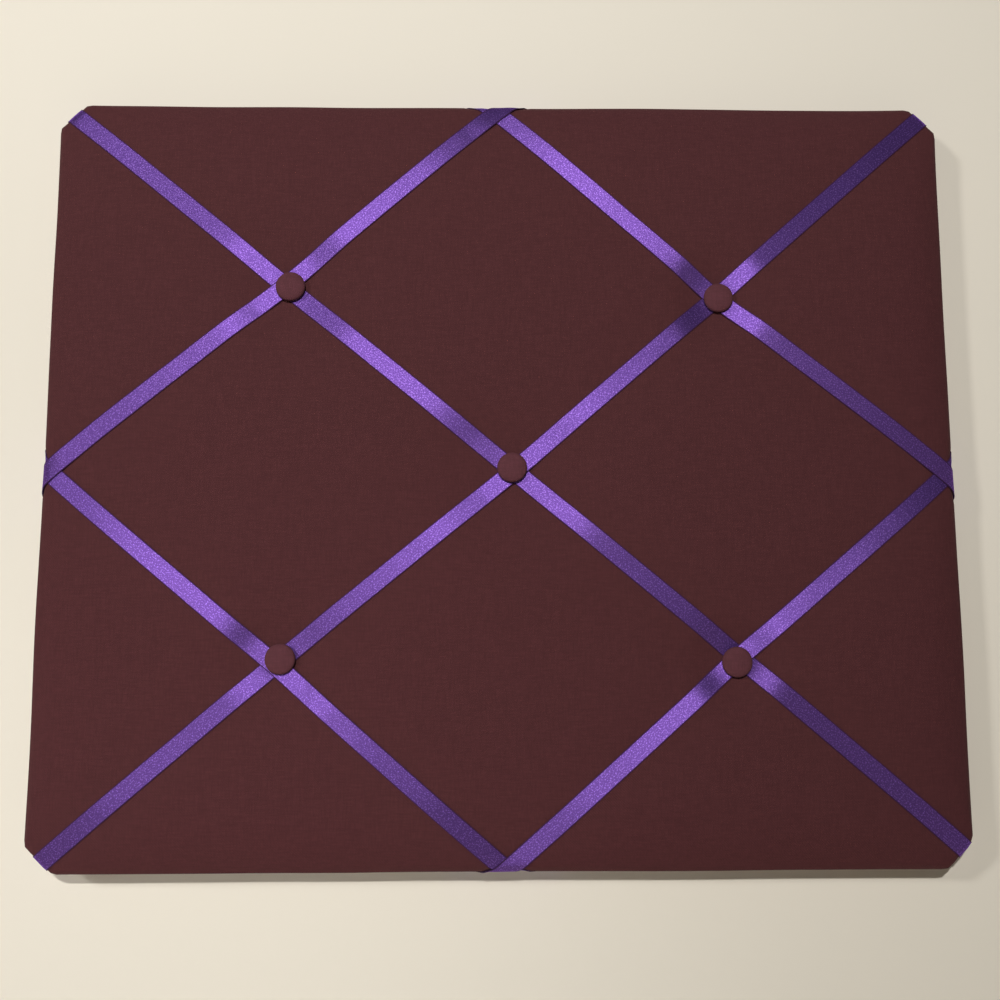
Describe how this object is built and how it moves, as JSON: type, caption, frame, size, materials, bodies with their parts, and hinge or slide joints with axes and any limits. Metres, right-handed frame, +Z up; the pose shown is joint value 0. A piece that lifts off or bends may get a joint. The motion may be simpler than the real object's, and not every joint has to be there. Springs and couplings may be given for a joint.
{
  "type": "french memo board",
  "caption": "Padded, cloth-covered wall board with cut corners, crossed by satin ribbons held down by covered buttons, so notes and photos slide under the ribbons; hangs from rings on its back",
  "frame": {"origin": "on the bare back of the backing board, midway between the two hanging rings and level with their axis", "axes": "+Z up as the board hangs, +Y from the board back to the wall, so the ribbons face -Y, +X to the right as seen from the front"},
  "size_m": [0.483, 0.0276, 0.41],
  "materials": {
    "brown_cloth": "matt plain-weave cotton, dark chocolate brown",
    "purple_satin": "satin ribbon with woven edges, purple",
    "fibreboard": "smooth raw fibreboard",
    "polyester_wadding": "soft white wadding",
    "pressed_aluminium": "pressed sheet",
    "steel_wire": "bright drawn wire",
    "waxed_thread": "twisted waxed twine, dark brown",
    "pale_plastic": "pale moulded plastic",
    "nickel_plate": "nickel-plated steel"
  },
  "bodies": {
    "board": {"backing_board": "fibreboard", "wadding": "polyester_wadding", "cloth_cover": "brown_cloth", "ribbon_falling": "purple_satin", "ribbon_rising": "purple_satin", "ribbon_top_left": "purple_satin", "ribbon_top_right": "purple_satin", "ribbon_bottom_right": "purple_satin", "ribbon_bottom_left": "purple_satin", "staple_ribbon_falling_corner_top_left": "steel_wire", "staple_ribbon_falling_corner_bottom_right": "steel_wire", "staple_ribbon_rising_corner_bottom_left": "steel_wire", "staple_ribbon_rising_corner_top_right": "steel_wire", "staple_ribbon_top_left_left": "steel_wire", "staple_ribbon_top_left_top": "steel_wire", "staple_ribbon_top_right_top": "steel_wire", "staple_ribbon_top_right_right": "steel_wire", "staple_ribbon_bottom_right_right": "steel_wire", "staple_ribbon_bottom_right_bottom": "steel_wire", "staple_ribbon_bottom_left_bottom": "steel_wire", "staple_ribbon_bottom_left_left": "steel_wire", "button_cover_top_left": "brown_cloth", "button_shell_top_left": "pressed_aluminium", "button_back_top_left": "pressed_aluminium", "button_shank_top_left": "steel_wire", "button_thread_top_left": "waxed_thread", "anchor_button_top_left": "pale_plastic", "button_cover_top_right": "brown_cloth", "button_shell_top_right": "pressed_aluminium", "button_back_top_right": "pressed_aluminium", "button_shank_top_right": "steel_wire", "button_thread_top_right": "waxed_thread", "anchor_button_top_right": "pale_plastic", "button_cover_centre": "brown_cloth", "button_shell_centre": "pressed_aluminium", "button_back_centre": "pressed_aluminium", "button_shank_centre": "steel_wire", "button_thread_centre": "waxed_thread", "anchor_button_centre": "pale_plastic", "button_cover_bottom_left": "brown_cloth", "button_shell_bottom_left": "pressed_aluminium", "button_back_bottom_left": "pressed_aluminium", "button_shank_bottom_left": "steel_wire", "button_thread_bottom_left": "waxed_thread", "anchor_button_bottom_left": "pale_plastic", "button_cover_bottom_right": "brown_cloth", "button_shell_bottom_right": "pressed_aluminium", "button_back_bottom_right": "pressed_aluminium", "button_shank_bottom_right": "steel_wire", "button_thread_bottom_right": "waxed_thread", "anchor_button_bottom_right": "pale_plastic", "hanger_strap_left": "nickel_plate", "hanger_screw_left": "nickel_plate", "hanger_strap_right": "nickel_plate", "hanger_screw_right": "nickel_plate"},
    "ring_left": {"d_ring_left": "nickel_plate"},
    "ring_right": {"d_ring_right": "nickel_plate"}
  },
  "joints": [
    {"name": "ring_left_pivot", "type": "hinge", "parent": "board", "child": "ring_left", "pos_m": [-0.16, 0.0027, 0], "axis": [1, 0, 0], "range_deg": [0, 177]},
    {"name": "ring_right_pivot", "type": "hinge", "parent": "board", "child": "ring_right", "pos_m": [0.16, 0.0027, 0], "axis": [1, 0, 0], "range_deg": [0, 177]}
  ]
}
